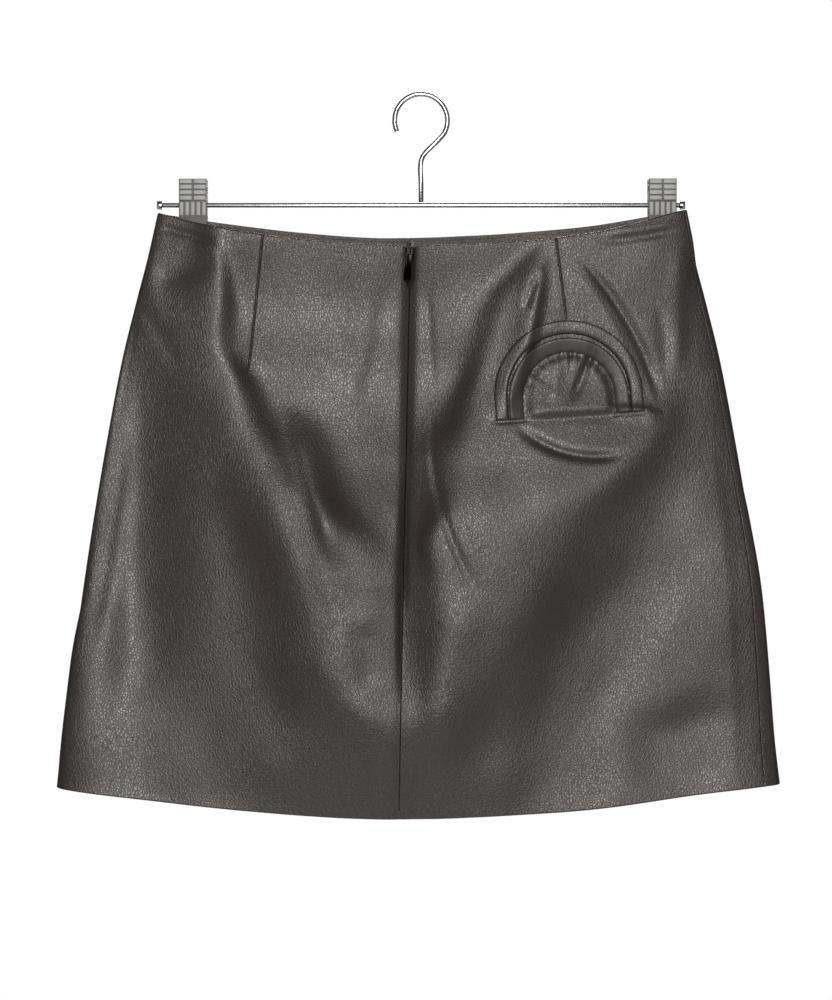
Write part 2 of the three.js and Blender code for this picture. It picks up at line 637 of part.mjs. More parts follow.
// Pull tab: a drop-shaped plate whose top bar lies under the slider's arch
const tab = new THREE.Shape();
const barHalf = PULL.thick / 2;
tab.moveTo(-PULL.half, barHalf);
tab.lineTo(-PULL.half, -PULL.window - PULL.shoulder);
tab.lineTo(-PULL.half * PULL.neckShare, -PULL.window - PULL.neck);
tab.absarc(0, -PULL.length + PULL.half, PULL.half, Math.PI, 2 * Math.PI, false);
tab.lineTo(PULL.half * PULL.neckShare, -PULL.window - PULL.neck);
tab.lineTo(PULL.half, -PULL.window - PULL.shoulder);
tab.lineTo(PULL.half, barHalf);
const windowHalf = PULL.half - PULL.rail;
const windowPath = new THREE.Path();
windowPath.moveTo(-windowHalf, -barHalf);
windowPath.lineTo(windowHalf, -barHalf);
windowPath.lineTo(windowHalf, -PULL.window);
windowPath.lineTo(-windowHalf, -PULL.window);
windowPath.closePath();
tab.holes.push(windowPath);
const tabPlate = new THREE.ExtrudeGeometry(tab, { depth: PULL.thick, bevelEnabled: false, curveSegments: 8 });
const slope = Math.atan2(besideY(ZIP.pivot) - besideY(ZIP.pivot + PULL.length), PULL.length);
tabPlate.translate(0, 0, -barHalf).applyMatrix4(axes([1, 0, 0], [0, 0, 1], [0, -1, 0]));
tabPlate.rotateY(degrees(PULL.tilt)).rotateX(-slope);
const pull = piece("zip_pull", tabPlate, BLACK_NICKEL);
pull.position.set(pivotX, pivotY, pivotZ);

// Hanger: bar with end stops, hook and two clips
const hanger = new THREE.Group();
skirt.add(hanger);
const allowance = SEAM_GAP + CLIP.clear;
for (const clip of CLIPS) {
  const found = { outer: [], inner: [] };
  for (const aside of [-0.5, -0.25, 0, 0.25, 0.5]) {
    for (let below = 1; below <= CLIP.below; below++) {
      const place = [clip.x + aside * CLIP.width, WAIST_Z - below];
      found.outer.push(layerY(front.outer, ...place));
      found.inner.push(layerY(facingInner, ...place));
    }
  }
  clip.outer = Math.max(...found.outer.filter((y) => y !== undefined)) + allowance;
  clip.inner = Math.min(...found.inner.filter((y) => y !== undefined)) - allowance;
}
const barY = CLIPS.reduce((total, clip) => total + clip.outer + clip.inner, 0) / (2 * CLIPS.length);
const barZ = -RAIL_TO_BAR;
const barRod = new THREE.CylinderGeometry(WIRE / 2, WIRE / 2, 2 * BAR_HALF, 12);
const barStops = [-1, 1].map((side) =>
  new THREE.CylinderGeometry(STOP.radius, STOP.radius, STOP.length, 16).translate(0, side * BAR_HALF, 0),
);
const bar = piece("hanger_bar", joined([barRod, ...barStops]), STEEL, hanger);
bar.rotation.z = Math.PI / 2;
bar.position.set(0, barY, barZ);

const bendZ = WIRE / 2 - HOOK_RADIUS; // centre of the hook's bend
const stemFoot = barZ + WIRE / 2 + SEAM_GAP;
const bend = HOOK_BEND.map((turn) => {
  const angle = degrees(turn);
  return new THREE.Vector3(HOOK_RADIUS * Math.cos(angle), 0, bendZ + HOOK_RADIUS * Math.sin(angle));
});
const hookLine = new THREE.CatmullRomCurve3([
  new THREE.Vector3(0, 0, stemFoot),
  new THREE.Vector3(0, 0, stemFoot + STEM.straight),
  new THREE.Vector3(STEM.lean, 0, bendZ - HOOK_RADIUS - STEM.bendsAt),
  ...bend,
]);
const wireSection = new THREE.Shape();
wireSection.absarc(0, 0, WIRE / 2, 0, 2 * Math.PI, false);
const hookWire = new THREE.ExtrudeGeometry(wireSection, {
  steps: 40,
  extrudePath: hookLine,
  curveSegments: 8,
});
const hook = piece("hanger_hook", hookWire, STEEL, hanger);
hook.position.y = barY;

// A clip's jaw: a plate that flares away at the top, with 2 by 4 grip pads above and ribs below
function jaw(side, face) {
  const gripZ = CLIP.above - GRIP.zone; // above the waist's corners
  const out = side * CLIP.thick;
  const profile = new THREE.Shape();
  const clearOfBar = WIRE / 2 + SEAM_GAP;
  const recess = clearOfBar - Math.abs(face - barY); // under 0 where the jaw reaches in to the bar
  profile.moveTo(0, -CLIP.below);
  profile.lineTo(0, BAR_ABOVE_WAIST - clearOfBar - Math.abs(recess));
  profile.lineTo(side * recess, BAR_ABOVE_WAIST - clearOfBar);
  profile.lineTo(side * recess, BAR_ABOVE_WAIST + clearOfBar);
  profile.lineTo(side * CLIP.flare, CLIP.above);
  profile.lineTo(side * CLIP.flare + out, CLIP.above);
  profile.lineTo(side * Math.max(recess, 0) + out, BAR_ABOVE_WAIST + clearOfBar);
  profile.lineTo(out, -CLIP.below + CLIP.chamfer);
  profile.lineTo(side * CLIP.toe, -CLIP.below);
  profile.closePath();
  const plate = new THREE.ExtrudeGeometry(profile, { depth: CLIP.width, bevelEnabled: false });
  plate.translate(0, 0, -CLIP.width / 2);
  plate.applyMatrix4(axes([0, 1, 0], [0, 0, 1], [1, 0, 0]));
  const pads = [];
  const padStep = { x: CLIP.width / GRIP.columns, z: GRIP.zone / GRIP.rows };
  const padDeep = GRIP.pad + CLIP.flare + SUNK;
  const padY = side * (CLIP.thick + CLIP.flare + GRIP.pad - padDeep / 2);
  for (let row = 0; row < GRIP.rows; row++) {
    for (let column = 0; column < GRIP.columns; column++) {
      const x = (column - (GRIP.columns - 1) / 2) * padStep.x;
      const z = gripZ + (row + 0.5) * padStep.z;
      pads.push(block(padStep.x - GRIP.gapX, padDeep, padStep.z - GRIP.gapZ, x, padY, z));
    }
  }
  const ribs = [];
  const ribDeep = RIBS.proud + CLIP.thick / 2;
  const ribY = side * (CLIP.thick + RIBS.proud - ribDeep / 2);
  const ribZ = gripZ - RIBS.under - RIBS.tall / 2;
  for (let rib = 0; rib < RIBS.count; rib++) {
    const x = (rib - (RIBS.count - 1) / 2) * (CLIP.width / RIBS.count);
    ribs.push(block(RIBS.wide, ribDeep, RIBS.tall, x, ribY, ribZ));
  }
  return joined([plate, ...pads, ...ribs]);
}
for (const clip of CLIPS) {
  for (const [where, side] of [["inner", -1], ["outer", 1]]) {
    const made = piece(`clip_${clip.name}_${where}`, jaw(side, clip[where]), CLEAR_GREY, hanger);
    made.position.set(clip.x, clip[where], WAIST_Z);
  }
}

export default skirt;
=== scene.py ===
# %% [markdown]
# # A leather mini skirt on a clip hanger
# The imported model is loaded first. It fixes where every piece is, so all that follows is dress:
# finer panels over the same form, the leather's grain, the sewing and the light.
# %% Load the fixed frame
import math

import bmesh
import bpy
import numpy as np
from mathutils import Matrix, Vector


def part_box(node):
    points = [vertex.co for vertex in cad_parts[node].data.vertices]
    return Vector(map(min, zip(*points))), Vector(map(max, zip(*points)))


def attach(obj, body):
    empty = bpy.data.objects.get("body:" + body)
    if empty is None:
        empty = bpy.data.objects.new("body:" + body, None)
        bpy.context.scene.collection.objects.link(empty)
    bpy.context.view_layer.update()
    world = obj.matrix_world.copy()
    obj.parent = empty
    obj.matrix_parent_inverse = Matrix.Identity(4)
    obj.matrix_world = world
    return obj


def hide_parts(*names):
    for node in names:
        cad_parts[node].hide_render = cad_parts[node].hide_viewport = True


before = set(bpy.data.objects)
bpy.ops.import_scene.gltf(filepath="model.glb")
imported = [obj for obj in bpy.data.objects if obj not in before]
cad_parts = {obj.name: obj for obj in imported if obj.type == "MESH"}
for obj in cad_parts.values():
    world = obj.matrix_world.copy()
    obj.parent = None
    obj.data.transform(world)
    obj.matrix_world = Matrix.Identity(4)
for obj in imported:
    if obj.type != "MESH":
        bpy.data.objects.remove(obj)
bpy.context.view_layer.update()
print("nodes:", ", ".join(sorted(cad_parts)))

# %% [markdown]
# ## Camera
# The picture is a flat catalogue view of the skirt's back. A long lens, far away and level with the
# middle of the frame, gives that. The frame is 1000 pixels high, 0.714 mm each, at the skirt.
# %% Camera
MM = 0.001
PIXEL = 1000 / 1400  # mm at the skirt for each pixel of the frame
FRAME_HIGH = 1000 * PIXEL * MM
LENS = 100
SENSOR = 36
CAMERA_X = -3.6 * MM
CAMERA_Z = -289 * MM
camera_data = bpy.data.cameras.new("camera")
camera_data.lens = LENS
camera_data.sensor_width = SENSOR
camera = bpy.data.objects.new("camera", camera_data)
bpy.context.collection.objects.link(camera)
distance = LENS / SENSOR * FRAME_HIGH
camera.location = (CAMERA_X, -distance, CAMERA_Z)
camera.rotation_euler = (math.radians(90), 0, 0)
bpy.context.scene.camera = camera
print("camera is", round(distance, 3), "m away")

# %% [markdown]
# ## Light and floor
# The leather is dark, so nearly all that is seen of it is gloss. One tall, narrow soft light in
# front and above makes the parts that face it shine and lets the sides of each fold fall dark. The
# pale surroundings would fill those dark sides, so the world is bright for the camera and dim for
# the leather.
# %% Lights
LAMP_COLOUR = (1, 0.98, 0.97)
ROOM_COLOUR = (1, 0.96, 0.93, 1)
ROOM_STRENGTH = 0.1
FLOOR_Z = -1.3
FLOOR_SIZE = 4


def soft_light(name, place, aim, size, power):
    data = bpy.data.lights.new(name, "AREA")
    data.shape = "RECTANGLE"
    data.size, data.size_y = size
    data.energy = power
    data.color = LAMP_COLOUR
    light = bpy.data.objects.new(name, data)
    bpy.context.collection.objects.link(light)
    light.location = place
    toward = Vector(aim) - Vector(place)
    light.rotation_euler = toward.to_track_quat("-Z", "Y").to_euler()
    light.visible_camera = False
    return light


MIDDLE = (0, 0, -0.3)
LAMPS = (
    # name, place in m, width and height in m, power in W
    ("key", (0.0, -2.7, 0.25), (0.3, 1.5), 54),
    ("fill_left", (-2.4, -1.2, 0.2), (0.5, 1.4), 3),
    ("fill_right", (2.4, -1.2, 0.2), (0.5, 1.4), 3),
    ("behind", (0.2, 2.7, 0.4), (0.6, 1.7), 60),
)
for lamp, lamp_place, lamp_size, watts in LAMPS:
    soft_light(lamp, lamp_place, MIDDLE, lamp_size, watts)
print("lamps:", ", ".join(lamp for lamp, *_ in LAMPS))

# %% Room
world = bpy.data.worlds.new("pale room")
bpy.context.scene.world = world
world.use_nodes = True
tree = world.node_tree
tree.nodes.clear()
to_camera = tree.nodes.new("ShaderNodeBackground")
to_camera.inputs["Color"].default_value = (1, 1, 1, 1)
to_things = tree.nodes.new("ShaderNodeBackground")
to_things.inputs["Color"].default_value = ROOM_COLOUR
to_things.inputs["Strength"].default_value = ROOM_STRENGTH
path = tree.nodes.new("ShaderNodeLightPath")
chosen = tree.nodes.new("ShaderNodeMixShader")
tree.links.new(path.outputs["Is Camera Ray"], chosen.inputs[0])
tree.links.new(to_things.outputs[0], chosen.inputs[1])
tree.links.new(to_camera.outputs[0], chosen.inputs[2])
surround = tree.nodes.new("ShaderNodeOutputWorld")
tree.links.new(chosen.outputs[0], surround.inputs[0])
bpy.context.scene.view_settings.view_transform = "Standard"


# %% Floor
def deselect():
    bpy.ops.object.select_all(action="DESELECT")


deselect()
bpy.ops.mesh.primitive_plane_add(size=FLOOR_SIZE, location=(0, 0, FLOOR_Z))
floor = bpy.context.object
floor.name = "floor"
print("floor is", -FLOOR_Z, "m under the hook")

# %% [markdown]
# ## Writing finishes as sums
# A material is arithmetic on patterns. `Value` wraps one output of a node, so a sum of two of them
# adds the Math node that does it, and `Finish.node` adds every other kind of node.
# %% A small language for materials
class Value:
    def __init__(self, finish, socket):
        self.finish = finish
        self.socket = socket

    def math(self, operation, first, second):
        return self.finish.node("ShaderNodeMath", {"operation": operation}, {0: first, 1: second})

    def __add__(self, other):
        return self.math("ADD", self, other)

    def __radd__(self, other):
        return self.math("ADD", other, self)

    def __sub__(self, other):
        return self.math("SUBTRACT", self, other)

    def __rsub__(self, other):
        return self.math("SUBTRACT", other, self)

    def __mul__(self, other):
        return self.math("MULTIPLY", self, other)

    def __rmul__(self, other):
        return self.math("MULTIPLY", other, self)


class Finish:
    def __init__(self, name):
        self.material = bpy.data.materials.new(name)
        self.material.use_nodes = True
        self.tree = self.material.node_tree
        self.shader = self.tree.nodes["Principled BSDF"]

    def node(self, kind, settings=None, inputs=None, out=0):
        made = self.tree.nodes.new(kind)
        for setting, value in (settings or {}).items():
            setattr(made, setting, value)
        for key, value in (inputs or {}).items():
            self.feed(made.inputs[key], value)
        return Value(self, made.outputs[out])

    def feed(self, socket, value):
        if isinstance(value, Value):
            self.tree.links.new(value.socket, socket)
        else:
            socket.default_value = value

    def mix(self, share, low, high):
        return self.node("ShaderNodeMix", {"data_type": "RGBA"}, {0: share, 6: low, 7: high}, 2)

    def step(self, value, low, high):
        return self.node(
            "ShaderNodeMapRange",
            {"interpolation_type": "SMOOTHSTEP"},
            {"Value": value, "From Min": low, "From Max": high},
        )

    def place(self, stretch=(1, 1, 1)):
        here = self.node("ShaderNodeTexCoord", out="Object")
        return self.node("ShaderNodeVectorMath", {"operation": "MULTIPLY"}, {0: here, 1: stretch})

    def noise(self, where, scale, detail=2.0, rough=0.5):
        sizes = {"Vector": where, "Scale": scale, "Detail": detail, "Roughness": rough}
        return self.node("ShaderNodeTexNoise", {}, sizes)

    def bump(self, height, distance):
        lifted = self.node("ShaderNodeBump", {}, {"Height": height, "Distance": distance})
        self.feed(self.shader.inputs["Normal"], lifted)

    def shade(self, **inputs):
        for name, value in inputs.items():
            self.feed(self.shader.inputs[name.replace("_", " ")], value)
        return self.material


def linear(red, green, blue):
    """A colour as a picture gives it, 0 to 255, in the units that a shader wants."""
    parts = [c / 255 for c in (red, green, blue)]
    return (*[c / 12.92 if c < 0.04 else ((c + 0.055) / 1.055) ** 2.4 for c in parts], 1)


# %% [markdown]
# ## Leather
# Real grain is a net of fine valleys between pebbles a little over a millimetre wide, drawn out
# along the skirt's length, with finer wrinkles where the hide was soft. The valleys are dull and
# the pebbles' tops are glossy, which is what makes the small sparkle. A Voronoi texture's distance
# to its cells' edges gives the net, and noise stretched downwards gives the wrinkles. The colour
# varies at random and has painted shade added: darker in the valleys and along the wrinkles,
# lighter on the pebbles' tops.
# %% Leather
CELLS = 640  # pebbles in a metre
WRINKLES = 420
PORES = 2600
NUDGES = 260
NUDGE_BY = 0.0011
GRAIN_HIGH = 0.00012
DRAWN_OUT = (1, 1, 0.62)
WRINKLE_STRETCH = (1, 1, 0.28)


def leather(name, dark, light, pebble=1.0, gloss=0.3):
    finish = Finish(name)
    even = finish.place()
    drawn = finish.place(DRAWN_OUT)
    cloud = finish.node("ShaderNodeTexNoise", {}, {"Vector": even, "Scale": NUDGES, "Detail": 2}, 1)
    nudge = finish.node("ShaderNodeVectorMath", {"operation": "SCALE"}, {0: cloud, "Scale": NUDGE_BY})
    where = finish.node("ShaderNodeVectorMath", {"operation": "ADD"}, {0: drawn, 1: nudge})
    edge = finish.node(
        "ShaderNodeTexVoronoi", {"feature": "DISTANCE_TO_EDGE"}, {"Vector": where, "Scale": CELLS}
    )
    grain = finish.step(edge, 0.0, 0.22)
    fold = finish.noise(finish.place(WRINKLE_STRETCH), WRINKLES, 3, 0.55)
    wrinkle = finish.node("ShaderNodeMath", {"operation": "ABSOLUTE"}, {0: fold - 0.5})
    wrinkle = finish.step(wrinkle, 0.0, 0.09)
    soft_places = finish.step(finish.noise(even, 14, 2), 0.42, 0.6)
    pores = finish.noise(even, PORES, 2)
    height = grain * 0.55 + wrinkle * (0.25 + 0.3 * soft_places) + pores * 0.16
    # painted shade: grain and wrinkle darken the colour in the valleys and along the wrinkles and lighten
    # it on the pebbles' tops; the noise part varies at random
    tone_and_valley_shade = finish.noise(even, 11, 4, 0.6) * 0.8 + grain * 0.22 + wrinkle * 0.1 - 0.1
    finish.bump(height, GRAIN_HIGH * pebble)
    return finish.shade(
        Base_Color=finish.mix(finish.step(tone_and_valley_shade, 0.1, 0.9), dark, light),
        Roughness=gloss + 0.16 * (1 - grain) + 0.08 * finish.noise(even, 30, 3),
        Specular_IOR_Level=0.75,
    )


BODY_DARK = linear(34, 26, 23)
BODY_LIGHT = linear(50, 42, 38)
body_leather = leather("skirt leather", BODY_DARK, BODY_LIGHT)
band_leather = {
    "arch_band_outer": leather("outer band leather", linear(40, 33, 30), linear(56, 48, 45), 0.9, 0.3),
    "arch_band_inner": leather("inner band leather", linear(42, 34, 31), linear(54, 46, 42), 0.3, 0.4),
}
facing_leather = leather("facing leather", linear(48, 41, 37), linear(62, 55, 50), 0.6, 0.46)
print("leather nodes:", len(body_leather.node_tree.nodes))

# %% [markdown]
# ## Metal, plastic, tape and thread
# The hard pieces are small, so their finishes are simple: a base colour that noise varies a little,
# and a roughness that smudges and fine scratches break up. Tape and thread get a woven bump.
# %% Metal and plastic
def brushed_metal(name, colour, rough, scratch=0.05, smudged=0.12):
    finish = Finish(name)
    lines = finish.noise(finish.place((1, 1, 9)), 900, 3)
    smudge = finish.noise(finish.place(), 120, 3)
    return finish.shade(
        Base_Color=finish.mix(smudge, [c * 0.85 for c in colour[:3]] + [1], colour),
        Metallic=1.0,
        Roughness=rough + scratch * lines + smudged * smudge,
    )


def clip_plastic(name, dark, light):
    finish = Finish(name)
    swirl = finish.noise(finish.place(), 160, 3)
    finish.bump(finish.noise(finish.place(), 900, 2), 0.00004)
    return finish.shade(
        Base_Color=finish.mix(swirl, dark, light),
        Roughness=0.4 + 0.2 * swirl,
        IOR=1.5,
    )


# %% Tape and thread
YARNS = 260
THREAD_TURNS = 900


def waves(finish, direction, scale):
    inputs = {"Vector": finish.place(), "Scale": scale}
    return finish.node("ShaderNodeTexWave", {"bands_direction": direction}, inputs)


def woven_tape():
    finish = Finish("zip tape")
    weave = waves(finish, "X", YARNS) * waves(finish, "Z", YARNS)
    finish.bump(weave, 0.00015)
    return finish.shade(
        Base_Color=finish.mix(weave, linear(16, 13, 12), linear(30, 26, 24)), Roughness=0.9
    )


def twisted_thread():
    finish = Finish("thread")
    twist = waves(finish, "DIAGONAL", THREAD_TURNS)
    finish.bump(twist, 0.00008)
    return finish.shade(
        Base_Color=finish.mix(twist, linear(40, 34, 31), linear(66, 58, 54)), Roughness=0.6
    )


# %% The finishes themselves
steel = brushed_metal("hanger steel", linear(176, 177, 179), 0.18)
black_nickel = brushed_metal("black nickel", linear(17, 16, 17), 0.12, 0.03, 0.05)
grey_nickel = brushed_metal("grey nickel", linear(44, 43, 42), 0.27)
tooth_nylon = brushed_metal("dark teeth", linear(60, 56, 54), 0.35)
plastic = clip_plastic("clip plastic", linear(66, 66, 64), linear(96, 97, 95))
# painted light: the pads' front faces are paler than the clip's plastic, so the gaps between the pads show
# as painted shade
pad_painted_light = clip_plastic("clip pads with painted light", linear(150, 150, 147), linear(178, 179, 176))
tape = woven_tape()
thread = twisted_thread()

plain = Finish("pale floor")
floor.data.materials.append(
    plain.shade(
        Base_Color=plain.mix(plain.noise(plain.place(), 3), linear(236, 236, 236), linear(246, 246, 246)),
        Roughness=0.7,
    )
)
print("materials:", len(bpy.data.materials))

# %% [markdown]
# ## The skirt's form
# The form is the same as the solids': flat oval rings, one for each height, that hang from the
# waist's two corners. A place on the skirt is a length round the ring, counted from the middle of
# the back to the right, and a drop below those corners. All sizes here are in millimetres.
# %% Sizes of the form
WAIST_Z = -84
SIDE_LENGTH = 409.5
WAIST_BACK = {"dip": 24.2, "lowest": -5, "left": 2.1, "right": 2.3}
WAIST_FRONT = {"dip": 17, "lowest": -28, "left": 1.47, "right": 1.9}
NOTCH = {"deep": 1.5, "reach": 9}  # the two panels part a little at the zip's top
RAISED_CORNER = {"from": 110, "over": 75, "by": 2}
RAISED_HEM = {"from": 95, "over": 120, "by": 3.7}
HEM = {"dip": 21.1, "lowest": -20, "left": 1.56, "right": 1.7}
WALL = 1.4
SEAM_GAP = 0.04
LAYER_GAP = 0.3
SIDE_FOLD = 3.5
RINGS = {
    "drop": [0, 34, 62, 105, 162, 219, 276, 334, 411, 440],
    "half": [188, 195.7, 203, 213.5, 224.3, 233.9, 242.1, 248.6, 256.2, 258.5],
    "depth": [10, 13.5, 15.5, 18, 20, 21.5, 22.5, 23.5, 24.5, 25],
    "lean": [0, 0, 0, 0, 0, 0, 0.3, 1.4, 3.2, 3.6],
}
CENTRE_SEAM = {"top": -7.2, "hem": -15.7}
SIDE_SEAM = {"top": 5.5, "hem": 17}
LEFT_DART = {"top": -110.3, "low": -123.4, "end": 116}
RIGHT_DART = {"top": 92.7, "low": 103, "end": 80}
ZIP = {"end": 272, "parted": 60, "slider_half": 2.5, "roll": 3.6, "reach": 4.3, "blunt": 1.2}


# %% [markdown]
# A table has a row for each of a few drops, and the form needs its values at all drops between them.
# A cubic through the rows gives them without kinks. Three short curves do the rest: `soft` goes
# from nought to one, `bell` is a ridge's section and `rise` a smooth step.
# %% Reading a table at any drop
def soft(t):
    t = np.clip(t, 0, 1)
    return t * t * (3 - 2 * t)


def bell(t):
    return np.exp(-t * t)


def rise(t):
    return 1 / (1 + np.exp(-t))


def mix(a, b, t):
    return a + (b - a) * t


def at_drop(table, column, drop):
    """A column of a table as a smooth curve through its rows."""
    places, values = np.array(table["drop"], float), np.array(table[column], float)
    low = np.r_[0, np.arange(len(places) - 1)]
    high = np.r_[np.arange(1, len(places)), len(places) - 1]
    slope = (values[high] - values[low]) / (places[high] - places[low])
    i = np.clip(np.searchsorted(places, drop) - 1, 0, len(places) - 2)
    span = places[i + 1] - places[i]
    t = np.clip((drop - places[i]) / span, 0, 1)
    start = values[i] * (1 + 2 * t) * (1 - t) ** 2
    end = values[i + 1] * t * t * (3 - 2 * t)
    bend = slope[i] * t * (1 - t) ** 2 - slope[i + 1] * t * t * (1 - t)
    return start + end + bend * span


# %% [markdown]
# An oval's arc length has no simple formula, so it is measured once for many heights. Afterwards
# any length round a ring can be turned into an angle by looking it up.
# %% Rings
def oval(beta, drop):
    a = at_drop(RINGS, "half", drop) - SIDE_FOLD
    b = at_drop(RINGS, "depth", drop) - SIDE_FOLD
    nx, ny = np.sin(beta) / a, -np.cos(beta) / b
    long = np.hypot(nx, ny)
    nx, ny = nx / long, ny / long
    x = a * np.sin(beta) + SIDE_FOLD * nx - at_drop(RINGS, "lean", drop)
    return x, -b * np.cos(beta) + SIDE_FOLD * ny, nx, ny


STEPS = 400
DROP_STEP = 2.5
table_drops = np.arange(0, 445, DROP_STEP)
table_beta = np.zeros((len(table_drops), STEPS + 1))
table_quarter = np.zeros(len(table_drops))
turns = np.linspace(0, math.pi / 2, STEPS + 1)
for i, level in enumerate(table_drops):
    ring_x, ring_y, _, _ = oval(turns, level)
    length = np.r_[0, np.cumsum(np.hypot(np.diff(ring_x), np.diff(ring_y)))]
    table_quarter[i] = length[-1]
    table_beta[i] = np.interp(np.linspace(0, length[-1], STEPS + 1), length, turns)
print("quarter of the ring at waist and hem:", table_quarter[0].round(1), table_quarter[-1].round(1))


def quarter_at(drop):
    return np.interp(drop, table_drops, table_quarter)


def ring_point(length, drop):
    quarter = quarter_at(drop)
    rest = np.mod(length, 4 * quarter)
    turn = np.clip(np.floor(rest / quarter), 0, 3)
    within = rest / quarter - turn
    share = np.where(turn % 2 == 0, within, 1 - within)
    row = np.clip(drop / DROP_STEP, 0, len(table_drops) - 1.001)
    column = np.clip(share * STEPS, 0, STEPS - 0.001)
    r, c = row.astype(int), column.astype(int)
    fr, fc = row - r, column - c
    upper = mix(table_beta[r, c], table_beta[r, c + 1], fc)
    lower = mix(table_beta[r + 1, c], table_beta[r + 1, c + 1], fc)
    beta = mix(upper, lower, fr)
    beta = np.where(turn % 2 == 0, turn * math.pi / 2 + beta, (turn + 1) * math.pi / 2 - beta)
    return oval(beta, drop)


# %% [markdown]
# ## Folds
# Hung from its corners, the back sags forward in a swag between two diagonals. Each other fold is
# a soft ridge, or a trough with a height under nought, along a bowed line. A row gives the line's
# two ends, each with its x and drop, the bow to the right, the height, and the reach to either side.
# %% Large folds, as in the solids
SWAG = {
    "drop": [20, 77, 120, 177, 227, 280, 337, 385, 440],
    "left": [-153.5, -164.3, -156.8, -132.7, -113.3, -104.4, -95.9, -73.2, -71.8],
    "right": [200, 182.2, 187.3, 163, 121.2, 94.5, 59.8, 24.6, 0.3],
    "forward": [7.7, 3.7, 0.9, 10.5, 20.1, 19, 17.2, 16.4, 0],
    "left_soft": [5, 9.5, 5, 15.1, 13.7, 14.8, 13.4, 25.7, 27.7],
    "right_soft": [5, 5.5, 5, 8, 19.1, 13.3, 14.1, 15.5, 24.7],
}
YOKE = {
    "drop": [20, 60, 95, 120, 150, 177, 205, 235, 265],
    "left": [-140.6, -136.5, -137.2, -123.9, -111.1, -87.7, -64.3, -35.6, -14.9],
    "right": [88.5, 53.5, 41.2, 33.1, 22.5, 7.8, 9.2, 0, 4.3],
    "back": [1.9, 7.1, 7.8, 8.6, 10.5, 10.7, 9, 7.5, 4.3],
    "left_soft": [2.6, 2.6, 3.8, 4, 7.5, 10.3, 8, 9, 12.4],
    "right_soft": [3.7, 4.9, 4.7, 3.5, 6, 9.8, 5.9, 2.6, 4.4],
}
HOLLOW = {"deep": 3.1, "reach": 25, "end": 377.8, "fade": 80}
BACK_FOLDS = [
    # x0, d0, x1, d1, bow, height, left, right
    (-154.1, 3, -58.2, 345.6, -8.6, 2, 21.4, 12.9),
    (84.9, 22.3, 53.5, 155.6, 7, 4.2, 11.5, 4.8),
    (-199.3, 53.8, -208.5, 407.5, 2.3, -7.5, 19.6, 32.8),
    (199.6, 111.9, 219.8, 435.7, 4.7, 0.8, 20.6, 6.3),
    (203.1, 175.9, 108.5, 449.9, 20.7, 2.5, 27, 37.5),
    (-156.6, 170.2, -125.2, 421.6, -4.2, 0.7, 15.6, 17),
    (-8.4, 170.9, -12.7, 352.7, -2.4, -3.9, 2.6, 12.1),
    (-74.3, 306.4, -17.6, 368.1, -9.5, 1.1, 14.3, 12),
    (28.6, 258.2, -7.8, 386.1, 5, 2.2, 15.5, 19.5),
    (81.1, 297.8, 43.6, 434.2, 2.8, 2.1, 17.3, 19),
    (-242.6, 234, -245.4, 519.6, -3.1, 9, 14, 41.1),
    (253.9, 138.7, 235.4, 523.3, 7.2, 9, 50.4, 14.2),
    (-95.7, 133.7, -58.6, 255.7, 2.9, 4.8, 8.1, 14),
    (68.1, 445.3, 339.2, 419.8, 7.6, 3.8, 45, 28.5),
    (-339.9, 435.2, -88.5, 457.8, 2.2, 5.4, 45, 21.9),
    (151.5, 197.1, 214.2, 346.1, 0.5, 0.7, 25.2, 24.5),
]
FRONT_FOLDS = [
    (-158, 16, -40, 330, -14, 6, 26, 22),
    (166, 16, 52, 352, 16, 5, 20, 28),
    (-70, 90, -96, 470, 5, -5, 26, 30),
    (88, 130, 120, 470, -6, -4.5, 24, 32),
    (6, 150, 16, 470, 4, 7, 40, 44),
]


def fold_height(fold, x, drop):
    x0, d0, x1, d1, bow, height, left, right = fold
    dx, dd = x1 - x0, d1 - d0
    long = math.hypot(dx, dd)
    along = ((x - x0) * dx + (drop - d0) * dd) / long**2
    aside = ((x - x0) * dd - (drop - d0) * dx) / long - bow * 4 * along * (1 - along)
    fade = soft(along / 0.3) * soft((1 - along) / 0.3)
    return height * fade * bell(aside / np.where(aside < 0, left, right))


def folds_height(folds, x, drop):
    return sum(fold_height(fold, x, drop) for fold in folds)


def between(table, x, drop):
    """Nearly one between a table's two edges, nearly nought outside them."""
    left = rise((x - at_drop(table, "left", drop)) / at_drop(table, "left_soft", drop))
    right = rise((at_drop(table, "right", drop) - x) / at_drop(table, "right_soft", drop))
    return left * right


def swag_height(x, drop):
    forward = at_drop(SWAG, "forward", drop) * between(SWAG, x, drop)
    return forward - at_drop(YOKE, "back", drop) * between(YOKE, x, drop)


